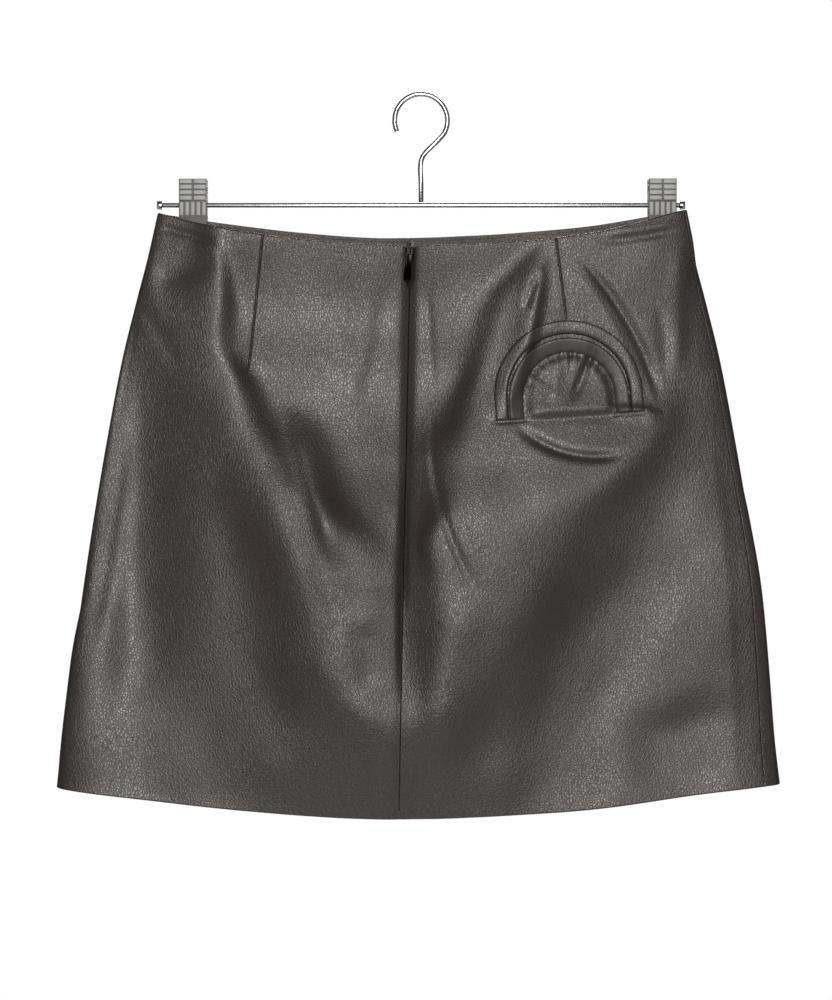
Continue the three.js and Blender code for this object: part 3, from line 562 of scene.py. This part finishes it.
# %% [markdown]
# ## Creases
# Between the large folds the leather has sharper creases, drawn by the same rule and much
# narrower. They gather where the cloth is pulled: beside the arch, under the waist's corners and
# below the darts' ends.
# %% Creases
BACK_CREASES = [
    # beside the arch's left leg
    (85, 43, 73.5, 74, -1.7, -1.6, 3.0, 3.0),
    # from the right dart's top, outside the arch
    (106, 28, 171, 141, 9, -2.0, 2.6, 4.5),
    (101, 35, 158, 141, 9, 0.6, 4.3, 3.3),
    (163.5, 59.2, 172.3, 123.7, 4.7, -0.6, 4.5, 4.4),
    (183.6, 14.2, 180.7, 121.7, 1.7, 1.3, 7.8, 5.2),
    # under the arch
    (62, 148, 150, 171, -13, -2.2, 3.4, 3.4),
    (130.7, 141.8, 172.6, 146.3, 2.7, 1.7, 5.7, 3.2),
    # in the half-disc
    (124, 90, 103, 139, 2, -1.5, 3.2, 3.8),
    (96, 104, 92, 138, 1, 0.8, 4.0, 5.0),
    # under the waist's corners
    (-192, 10, -140, 26.5, 2, -1.2, 3, 3),
    (-194.8, 54.6, -142.9, 33.9, 4.2, -2.2, 11.8, 12.4),
    (-202.9, 61.1, -168.9, 115, 0, -0.5, 4.4, 6.1),
    (120, 22, 186, 12, -2, -1.0, 3, 3),
    (126, 17, 190, 6, -1, 0.6, 2.8, 2.8),
    # right of the centre seam
    (8, 138, 43, 276, -12, -1.5, 2.4, 3.0),
    (3.4, 50, 7.8, 130, 0.7, -0.6, 3, 3),
    # along the left diagonal's crest
    (-143.4, 95.7, -47, 348.5, 13.1, 0.5, 8, 4.3),
    # left of the centre seam
    (-27.4, 50.3, -46.9, 149.6, 4.9, -0.8, 6.2, 7.4),
    (-47.1, 288.5, -36.8, 342.7, 3.9, -1.1, 8.8, 10.3),
    # near the hem
    (137.1, 375, 231.9, 349.2, -1.5, -1.8, 16.2, 15.6),
    (-131.6, 300.3, -92.9, 421, -3.6, 1, 16.5, 15),
    (-211.7, 141.2, -236.9, 334.7, 0.1, -2.1, 8.9, 6.7),
]


def unevenness(x, drop):
    """Slow, shallow waves, so that no stretch of hide is perfectly even."""
    swells = (
        # turns of x and of the drop, phase and height
        (0.050, 0.031, 0.4, 0.22),
        (-0.083, 0.044, 1.9, 0.16),
        (0.121, -0.062, 3.1, 0.10),
        (0.034, 0.097, 5.0, 0.14),
        (0.170, 0.110, 2.2, 0.06),
    )
    return sum(size * np.sin(kx * x + kd * drop + phase) for kx, kd, phase, size in swells)


# %% [markdown]
# ## The arch's place
# The pocket trim is two bands round a half-disc of gathered leather. `arch_place` turns a place on
# the skirt into the arch's own measures: along its base and up from it.
# %% Arch
ARCH = {"x": 105.4, "drop": 145.6, "tilt": math.radians(3.8)}
BANDS = {
    "arch_band_outer": {"outer": 52.8, "width": 9.6, "leg": 15},
    "arch_band_inner": {"outer": 42.8, "width": 10.3, "leg": 12.8},
}
BAND_TILT = {"arch_band_outer": 0.0, "arch_band_inner": -0.2}  # rise for each mm towards the inside
BAND_GAP = 0.25
BAND_RAISE = 2.3
DISC = BANDS["arch_band_inner"]["outer"] - BANDS["arch_band_inner"]["width"]
GATHERS = [
    # angle from the right, in degrees, depth, width and reach inwards
    (24, 0.7, 1.6, 8),
    (41, 0.9, 1.7, 11),
    (58, 1.4, 1.9, 18),
    (72, 0.8, 1.6, 10),
    (84, 1.1, 1.6, 14),
    (97, 1.2, 1.6, 12),
    (110, 1.0, 1.6, 14),
    (124, 1.0, 1.8, 12),
    (141, 1.4, 1.9, 20),
    (158, 0.8, 1.6, 10),
]


def arch_place(x, drop):
    dx, up = x - ARCH["x"], ARCH["drop"] - drop
    cos, sin = math.cos(ARCH["tilt"]), math.sin(ARCH["tilt"])
    return dx * cos + up * sin, up * cos - dx * sin


def arch_relief(x, drop):
    p, q = arch_place(x, drop)
    leg = BANDS["arch_band_inner"]["leg"]
    from_centre = np.hypot(p, np.maximum(q - leg, 0))
    inside = soft((DISC - from_centre) / 7) * soft((q + 3) / 9)
    dome = 1.6 * inside * soft((30 - q) / 34) + 1.6 * inside * soft((p + 34) / 16)
    angle = np.degrees(np.arctan2(q - leg, p))
    gathered = 0
    for turn, depth, width, reach in GATHERS:
        aside = np.radians(angle - turn) * np.maximum(from_centre, 8)
        gathered = gathered - depth * bell(aside / width) * soft(1 - (DISC - from_centre) / reach)
    gathered = gathered * soft((DISC + 3 - from_centre) / 4) * soft((q - 4) / 8)
    legs = soft((abs(p) - 30) / 3) * soft((55 - abs(p)) / 3)
    slit = -1.3 * bell((q + 1.0) / 1.0) * legs - 0.45 * bell((q + 0.5) / 1.4) * soft((34 - abs(p)) / 6)
    shelf = 0.28 * soft((q + 10) / 9) * soft((58 - abs(p)) / 10) * soft((2 - q) / 3) * soft((q + 9) / 6)
    return dome + gathered + slit - shelf


# %% [markdown]
# ## Relief of the whole back and front
# All the layers are added: swag, folds, creases, arch, darts and the roll of the zip's two edges.
# A dart is a sewn fold, so it is a sharp valley with a lip on the side to which it is pressed.
# %% Relief
SEAM_DIP = 0.7
ZIP_FADE = 40
DART = {"fade": 7, "dip": 0.6, "dip_reach": 7}


def centre_x(drop):
    return mix(CENTRE_SEAM["top"], CENTRE_SEAM["hem"], drop / (SIDE_LENGTH + HEM["dip"]))


def dart_x(dart, drop):
    return mix(dart["top"], dart["low"], drop / dart["end"])


def dart_relief(dart, x, drop):
    aside = x - dart_x(dart, drop)
    fade = soft((dart["end"] - drop) / DART["fade"])
    beyond = soft((dart["end"] + 26 - drop) / 30) * soft((drop - dart["end"] + 18) / 20)
    valley = -1.0 * bell(aside / 0.45) - 0.25 * bell(aside / 3)
    lip = 0.3 * bell((aside - 1.5) / 0.7)
    return fade * (valley + lip) - DART["dip"] * beyond * bell(aside / DART["dip_reach"])


def back_relief(x, drop):
    aside = x - centre_x(drop)
    zipped = soft((ZIP["end"] + ZIP_FADE / 2 - drop) / ZIP_FADE)
    roll = mix(SEAM_DIP, ZIP["roll"], zipped) * bell((abs(aside) + ZIP["blunt"]) / ZIP["reach"])
    hollow = HOLLOW["deep"] * bell(aside / HOLLOW["reach"])
    hollow = hollow * soft((HOLLOW["end"] - drop) / HOLLOW["fade"])
    total = swag_height(x, drop) + folds_height(BACK_FOLDS, x, drop) - roll - hollow
    total = total + folds_height(BACK_CREASES, x, drop) + arch_relief(x, drop)
    total = total + dart_relief(LEFT_DART, x, drop) + dart_relief(RIGHT_DART, x, drop)
    return total + unevenness(x, drop)


def front_relief(x, drop):
    return folds_height(FRONT_FOLDS, x, drop) + 1.4 * unevenness(-x, drop)


def skin(length, drop, lift=0.0):
    x, y, nx, ny = ring_point(length, drop)
    relief = np.where(ny < 0, back_relief(x, drop), front_relief(x, drop))
    out = relief * soft((np.abs(ny) - 0.5) / 0.45) + lift
    return np.stack([x + out * nx, y + out * ny, WAIST_Z - drop], axis=-1)


# %% [markdown]
# The waist and the hem both sag between the corners, by a different amount and with a different
# curve on either side of their lowest point. The right end of each is drawn up a little.
# %% Waist and hem lines
def sag(edge, x, corner):
    side = np.where(x < edge["lowest"], -1, 1)
    share = np.clip((x - edge["lowest"]) / (side * corner - edge["lowest"]), 0, 1)
    return edge["dip"] * (1 - share ** np.where(side < 0, edge["left"], edge["right"]))


def raised(end, x):
    return end["by"] * soft((x - end["from"]) / end["over"])


def edge_drops(x, ny):
    corner = RINGS["half"][0]
    notch = NOTCH["deep"] * bell((x - CENTRE_SEAM["top"]) / NOTCH["reach"])
    waist = np.where(ny < 0, sag(WAIST_BACK, x, corner) + notch, sag(WAIST_FRONT, x, corner))
    hem = SIDE_LENGTH + sag(HEM, x, at_drop(RINGS, "half", SIDE_LENGTH))
    return waist - raised(RAISED_CORNER, x), hem - raised(RAISED_HEM, x)


# %% [markdown]
# ## Panels
# A panel starts as Blender's flat grid, whose columns follow the cloth's own lines: seams, darts
# and the zip. The grid's corners say how far along each point is, and `skin` gives its place. The
# last rows and columns roll inwards, because a leather edge is turned and never ends as a cut.
# %% Guides
def side_arc(drop):
    return mix(SIDE_SEAM["top"], SIDE_SEAM["hem"], drop / SIDE_LENGTH)


def right_seam(aside):
    return lambda drop: quarter_at(drop) - side_arc(drop) + aside


def left_seam(aside, turn=-1):
    return lambda drop: turn * quarter_at(drop) - side_arc(drop) + aside


def outermost(side, inwards):
    return lambda drop: side * (quarter_at(drop) - inwards)


def on_back(x_of, aside=0.0):
    return lambda drop: x_of(drop) + at_drop(RINGS, "lean", drop) + aside


def beside_zip(side, aside):
    half = lambda drop: SEAM_GAP / 2 + (ZIP["slider_half"] + 0.25) * soft((ZIP["parted"] - drop) / 14)
    return lambda drop: on_back(centre_x)(drop) + side * (half(drop) + aside)


def at_dart(dart, aside):
    return on_back(lambda drop: dart_x(dart, drop), aside)


# %% Making a panel
EDGE_ROLL = 1.0
SEAM_ROLL = 0.4
FINE_SHARE = 0.0045  # of the length, at each edge, that the fine rows cover
BACK_ROWS = 284
FRONT_ROWS = 150


def roll_in(from_edge, radius):
    """How far an edge has turned in, this far from it."""
    rest = np.clip(radius - from_edge, 0, radius)
    return radius - np.sqrt(np.maximum(radius**2 - rest**2, 0))


def even_rows(count, top=5, hem=5):
    """Shares from waist to hem, closer together at both edges."""
    body = np.linspace(FINE_SHARE, 1 - FINE_SHARE, count - top - hem)
    first = np.linspace(0, FINE_SHARE, top, endpoint=False)
    last = 1 - np.linspace(0, FINE_SHARE, hem, endpoint=False)[::-1]
    return np.r_[first, body, last]


def flat_grid(name, across, down):
    deselect()
    bpy.ops.mesh.primitive_grid_add(x_subdivisions=across - 1, y_subdivisions=down - 1, size=2)
    piece = bpy.context.object
    piece.name = piece.data.name = name
    flat = np.zeros(len(piece.data.vertices) * 3)
    piece.data.vertices.foreach_get("co", flat)
    flat = flat.reshape(-1, 3)
    column = np.rint((flat[:, 0] + 1) / 2 * (across - 1)).astype(int)
    row = np.rint((1 - flat[:, 1]) / 2 * (down - 1)).astype(int)
    return piece, row, column


def put_points(piece, points):
    piece.data.vertices.foreach_set("co", (points * MM).ravel())
    piece.data.update()


def finish_shell(piece, thick, material):
    """Gives a sheet its thickness inwards, smooths it and dresses it."""
    wall = piece.modifiers.new("wall", "SOLIDIFY")
    wall.thickness = thick * MM
    wall.offset = -1
    deselect()
    bpy.context.view_layer.objects.active = piece
    piece.select_set(True)
    bpy.ops.object.modifier_apply(modifier="wall")
    bpy.ops.object.shade_smooth()
    piece.data.materials.append(material)
    return piece


def columns_of(*stops):
    """Guides with even steps between them: a guide, then steps, then a guide, and so on."""
    columns = []
    for low, steps, high in zip(stops[0:-2:2], stops[1:-1:2], stops[2::2]):
        for k in range(steps):
            columns.append((low, high, k / steps))
    return [*columns, (stops[-1], stops[-1], 0.0)]


def panel_points(columns, shares, depth=0.0, rolled=True):
    lengths = np.zeros((len(shares), len(columns)))
    drops = np.zeros_like(lengths)
    for c, (low, high, share) in enumerate(columns):
        at = lambda drop: mix(low(drop), high(drop), share)
        guess = shares * SIDE_LENGTH
        x, _, _, ny = ring_point(at(guess), guess)
        waist, hem = edge_drops(x, ny)
        drops[:, c] = mix(waist, hem, shares)
        lengths[:, c] = at(drops[:, c])
    lift = -depth * np.ones_like(drops)
    if rolled:
        lift -= roll_in(lengths - lengths[:, :1], SEAM_ROLL) + roll_in(lengths[:, -1:] - lengths, SEAM_ROLL)
        lift -= roll_in(drops - drops[:1], EDGE_ROLL) + roll_in(drops[-1:] - drops, EDGE_ROLL)
    return skin(lengths, drops, lift)


def panel(name, columns, count):
    piece, row, column = flat_grid(name, len(columns), count)
    points = panel_points(columns, even_rows(count))
    put_points(piece, points[row, column])
    finish_shell(piece, WALL, body_leather)
    piece.data.calc_loop_triangles()
    print(name, len(piece.data.loop_triangles), "triangles")
    return piece


# %% Back left panel
HALF_GAP = SEAM_GAP / 2
back_left = panel(
    "back_left_panel",
    columns_of(
        left_seam(HALF_GAP), 4, left_seam(1.3), 7, outermost(-1, -4), 5, outermost(-1, 4), 6,
        outermost(-1, 16), 44, at_dart(LEFT_DART, -5), 4, at_dart(LEFT_DART, -1.5), 4,
        at_dart(LEFT_DART, 0), 4, at_dart(LEFT_DART, 1.5), 4, at_dart(LEFT_DART, 5), 56,
        beside_zip(-1, 6), 6, beside_zip(-1, 1.2), 4, beside_zip(-1, 0),
    ),
    BACK_ROWS,
)

# %% Back right panel
back_right = panel(
    "back_right_panel",
    columns_of(
        beside_zip(1, 0), 4, beside_zip(1, 1.2), 6, beside_zip(1, 6), 58,
        at_dart(RIGHT_DART, -5), 4, at_dart(RIGHT_DART, -1.5), 4, at_dart(RIGHT_DART, 0), 4,
        at_dart(RIGHT_DART, 1.5), 4, at_dart(RIGHT_DART, 5), 58, outermost(1, 26), 6,
        right_seam(-4), 5, right_seam(-1.3), 4, right_seam(-HALF_GAP),
    ),
    BACK_ROWS,
)

# %% Front panel
front = panel(
    "front_panel",
    columns_of(
        right_seam(HALF_GAP), 4, right_seam(1.3), 8, outermost(1, 4), 6, outermost(1, -4), 3,
        outermost(1, -8), 170, left_seam(-8, 3), 6, left_seam(-1.3, 3), 4, left_seam(-HALF_GAP, 3),
    ),
    FRONT_ROWS,
)

# %% [markdown]
# ## Waist facing
# The strip that shows above the back's waist is the inside of the front: a facing of duller hide,
# sewn down just under the edge so that it stays inside. It lies against the front panel.
# %% Facing
FACING_DEEP = 40
FACING_WALL = 0.9
FACING_ROWS = 22
facing_columns = columns_of(outermost(1, -8), 150, left_seam(-8, 3))
facing_shares = np.r_[np.linspace(0, 0.004, 5), np.linspace(0.008, FACING_DEEP / SIDE_LENGTH, FACING_ROWS)]
facing, row, column = flat_grid("waist_facing", len(facing_columns), len(facing_shares))
facing_points = panel_points(facing_columns, facing_shares, WALL + LAYER_GAP, rolled=False)
put_points(facing, facing_points[row, column])
finish_shell(facing, FACING_WALL, facing_leather)
print("facing", FACING_DEEP, "mm deep")

# %% [markdown]
# ## Arch bands
# Each band is a strip of smooth hide, folded round a filler. Its section is a low flat crown with
# round shoulders, carried along a leg, a half circle and the other leg, on the panel's surface.
# %% Finding the panel under a point
def surface_y(x, drop):
    """The panel's outer face at a place seen from the back."""
    length = x + at_drop(RINGS, "lean", drop)
    for _ in range(4):
        length = length + (x - skin(length, drop)[..., 0])
    return skin(length, drop)[..., 1]


# %% Bands
BAND_WALL = 0.8
BAND_STEPS = 150
SECTION = [
    # share of the width from the outer edge, share of the height
    (0.0, 0.0), (0.0, 0.3), (0.012, 0.55), (0.035, 0.74), (0.07, 0.88), (0.12, 0.97), (0.25, 1.0),
    (0.45, 1.02), (0.65, 1.01), (0.78, 0.97), (0.86, 0.87), (0.92, 0.68), (0.965, 0.42), (1.0, 0.15),
    (1.0, 0.0),
]


def arch_band(node, outer, width, leg):
    radius = outer - width / 2
    arc = math.pi * radius
    whole = 2 * leg + arc
    ends = [0, 0.15, 0.4, 0.8, 1.4]
    body = np.linspace(2.2, whole - 2.2, BAND_STEPS)
    along = np.r_[ends, body, [whole - end for end in ends[::-1]]]
    piece, row, column = flat_grid(node + "_strip", len(SECTION), len(along))
    off = np.array([share for share, _ in SECTION])[None, :] * width - width / 2
    up = np.array([share for _, share in SECTION])[None, :] * (BAND_RAISE + BAND_TILT[node] * off)
    from_end = np.minimum(along, along[::-1])[:, None]
    up = up * np.sqrt(1 - (1 - np.clip(from_end / 1.2, 0, 1)) ** 2)
    s = along[:, None]
    turn = math.pi - np.clip((s - leg) / radius, 0, math.pi)
    reach = radius - off
    p = reach * np.cos(turn)
    q = np.where(s < leg, s, np.where(s > leg + arc, whole - s, leg + reach * np.sin(turn)))
    tilt = ARCH["tilt"]
    x = ARCH["x"] + p * math.cos(tilt) - q * math.sin(tilt)
    drop = ARCH["drop"] - p * math.sin(tilt) - q * math.cos(tilt)
    y = surface_y(x, drop) - BAND_GAP - up
    points = np.stack([x, y, WAIST_Z - drop], axis=-1)
    put_points(piece, points[row, column])
    deselect()
    piece.select_set(True)
    bpy.context.view_layer.objects.active = piece
    bpy.ops.object.mode_set(mode="EDIT")
    bpy.ops.mesh.select_all(action="SELECT")
    bpy.ops.mesh.normals_make_consistent(inside=False)
    bpy.ops.object.mode_set(mode="OBJECT")
    finish_shell(piece, BAND_WALL, band_leather[node])
    return piece


bands = {node: arch_band(node, **sizes) for node, sizes in BANDS.items()}
print("bands:", list(bands))

# %% [markdown]
# ## Dressing a solid
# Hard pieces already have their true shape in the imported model. A copy is merged, because its
# triangles are loose, and its edges are rounded a little: no moulded or cast edge is sharp, and
# the round edge is what catches the light.
# %% Rounded copies of hard pieces
def dressed(node, name, material, round_by=0.2, segments=2, sharp=28):
    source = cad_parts[node]
    piece = bpy.data.objects.new(name, source.data.copy())
    bpy.context.collection.objects.link(piece)
    piece.matrix_world = source.matrix_world.copy()
    piece.data.materials.clear()
    deselect()
    piece.select_set(True)
    bpy.context.view_layer.objects.active = piece
    bpy.ops.object.mode_set(mode="EDIT")
    bpy.ops.mesh.select_all(action="SELECT")
    bpy.ops.mesh.remove_doubles(threshold=0.00001)
    bpy.ops.mesh.dissolve_limited(angle_limit=math.radians(2))
    bpy.ops.object.mode_set(mode="OBJECT")
    if round_by:
        rounded = piece.modifiers.new("edge", "BEVEL")
        rounded.width = round_by * MM
        rounded.segments = segments
        rounded.limit_method = "ANGLE"
        rounded.angle_limit = math.radians(sharp)
        rounded.use_clamp_overlap = True
        bpy.ops.object.modifier_apply(modifier="edge")
    bpy.ops.object.shade_smooth_by_angle(angle=math.radians(32))
    bpy.ops.object.transform_apply(location=True, rotation=True, scale=True)
    piece.data.materials.append(material)
    return piece


def paint_raised(piece, above, material):
    """Gives the faces that stand furthest out, on either side, a material of their own: a paler plastic as
    painted light, which leaves the sides and gaps between the pads darker as painted shade.
    """
    piece.data.materials.append(material)
    y = np.array([v.co.y for v in piece.data.vertices]) / MM
    outer = y.max() if piece.name.endswith("outer_jaw") else y.min()
    for face in piece.data.polygons:
        if abs(face.normal.y) > 0.7 and abs(face.center.y / MM - outer) < above:
            face.material_index = 1


clips = {}
for node in ("clip_left_inner", "clip_left_outer", "clip_right_inner", "clip_right_outer"):
    clips[node] = dressed(node, node + "_jaw", plastic, 0.22)
    # painted light on each jaw's raised pads, painted shade in the gaps between them
    paint_raised(clips[node], 0.9, pad_painted_light)
bar = dressed("hanger_bar", "bar", steel, 0.5)
hook = dressed("hanger_hook", "hook", steel, 0.4, sharp=50)
slider = dressed("zip_slider", "slider", grey_nickel, 0.25)
pull = dressed("zip_pull", "pull", black_nickel, 0.18)

# %% [markdown]
# ## Zip
# A concealed zip has its teeth on the tape's inner side, so from outside only the slider and the
# parting of the two panels show. The teeth are one small spool, copied down the tape.
# %% Zip tape
zip_tape = dressed("zip_tape", "tape", tape, 0)
tape_low, tape_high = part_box("zip_tape")
print("tape from", [round(v, 3) for v in tape_low], "to", [round(v, 3) for v in tape_high])

# %% Teeth
TOOTH_STEP = 1.6
TOOTH = {"radius": 0.55 * MM, "depth": 4.2 * MM, "vertices": 8}
TOOTH_BACK = 0.6  # from the tape's inner face
tape_corners = np.array([v.co for v in zip_tape.data.vertices]) / MM
rows_z = np.unique(np.round(tape_corners[:, 2], 2))
inner_y = np.array([tape_corners[np.abs(tape_corners[:, 2] - z) < 0.05][:, 1].max() for z in rows_z])
tooth_z = np.arange(WAIST_Z - ZIP["end"] + 4, WAIST_Z - 31, TOOTH_STEP)
deselect()
bpy.ops.mesh.primitive_cylinder_add(**TOOTH, rotation=(0, math.pi / 2, 0))
tooth = bpy.context.object
bpy.ops.object.transform_apply(location=False, rotation=True, scale=False)
bpy.ops.object.mode_set(mode="EDIT")
bpy.ops.mesh.select_all(action="SELECT")
bpy.ops.mesh.bevel(offset=0.16 * MM, segments=1, affect="EDGES")
bpy.ops.object.mode_set(mode="OBJECT")


def copies(source, name, matrices, material):
    """One mesh of many copies of a small piece."""
    bm = bmesh.new()
    for matrix in matrices:
        one = source.data.copy()
        one.transform(matrix)
        bm.from_mesh(one)
        bpy.data.meshes.remove(one)
    mesh = bpy.data.meshes.new(name)
    bm.to_mesh(mesh)
    bm.free()
    piece = bpy.data.objects.new(name, mesh)
    bpy.context.collection.objects.link(piece)
    mesh.materials.append(material)
    for face in mesh.polygons:
        face.use_smooth = True
    bpy.data.objects.remove(source)
    return piece


places = []
for z in tooth_z:
    x = centre_x(WAIST_Z - z)
    y = np.interp(z, rows_z, inner_y) + TOOTH_BACK
    places.append(Matrix.Translation(Vector((x, y, z)) * MM))
teeth = copies(tooth, "teeth", places, tooth_nylon)
print("teeth:", len(places))

# %% [markdown]
# ## Sewing
# The facing is sewn down a few millimetres under its edge. A stitch is a short, slightly sunk
# thread; one is modelled and copied along the line, turned to lie on the leather.
# %% Stitches
def stitch(long, thick):
    deselect()
    bpy.ops.mesh.primitive_uv_sphere_add(segments=8, ring_count=6, radius=1)
    one = bpy.context.object
    one.scale = (long / 2 * MM, thick / 2 * MM, thick / 2 * MM)
    bpy.ops.object.transform_apply(location=False, rotation=False, scale=True)
    return one


def stitched(name, line, step=3.0, long=2.2, thick=0.42):
    """Stitches along a line of points with their outward normals."""
    points, outward = line
    lengths = np.r_[0, np.cumsum(np.linalg.norm(np.diff(points, axis=0), axis=1))]
    matrices = []
    for at in np.arange(step, lengths[-1] - step, step):
        here = Vector([np.interp(at, lengths, points[:, k]) for k in range(3)])
        ahead = Vector([np.interp(at + 0.5, lengths, points[:, k]) for k in range(3)])
        normal = Vector([np.interp(at, lengths, outward[:, k]) for k in range(3)]).normalized()
        along = (ahead - here).normalized()
        side = normal.cross(along).normalized()
        turn = Matrix((along, side, normal)).transposed().to_4x4()
        matrices.append(Matrix.Translation(here * MM) @ turn)
    return copies(stitch(long, thick), name, matrices, thread)


def row_line(columns, below, depth, side):
    """A line across a panel, with the normal to the side that shows."""
    rows = []
    normals = []
    for low, high, share in columns:
        at = lambda drop: mix(low(drop), high(drop), share)
        guess = np.array([5.0])
        x, _, _, ny = ring_point(at(guess), guess)
        waist, hem = edge_drops(x, ny)
        drop = waist + below
        x, y, nx, ny = ring_point(at(drop), drop)
        rows.append(skin(at(drop), drop, -depth)[0])
        normals.append([side * nx[0], side * ny[0], 0])
    return np.array(rows), np.array(normals)


BELOW_EDGE = 2.6
on_facing = WALL + LAYER_GAP + FACING_WALL
understitch = stitched("understitch", row_line(facing_columns, BELOW_EDGE, on_facing, -1))
print("sewing done")

# %% [markdown]
# ## What moves with what, and what each piece stands for
# Only the zip's pull tab turns, so it rides a body of its own. All else rides with the skirt.
# %% Riding and replacing
for piece, node, slot in (
    (back_left, "back_left", "leather"),
    (back_right, "back_right", "leather"),
    (front, "front", "leather"),
    (facing, "front_facing", "facing_leather"),
    (bands["arch_band_outer"], "arch_band_outer", "leather"),
    (bands["arch_band_inner"], "arch_band_inner", "leather"),
    (zip_tape, "zip_tape", "tape"),
    (slider, "zip_slider", "black_nickel"),
    (bar, "hanger_bar", "steel"),
    (hook, "hanger_hook", "steel"),
    *((piece, node, "clip") for node, piece in clips.items()),
):
    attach(piece, "skirt")
    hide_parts(node)
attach(pull, "pull_tab")
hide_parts("zip_pull")
for piece, slot in ((teeth, "tape"), (understitch, "facing_leather")):
    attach(piece, "skirt")

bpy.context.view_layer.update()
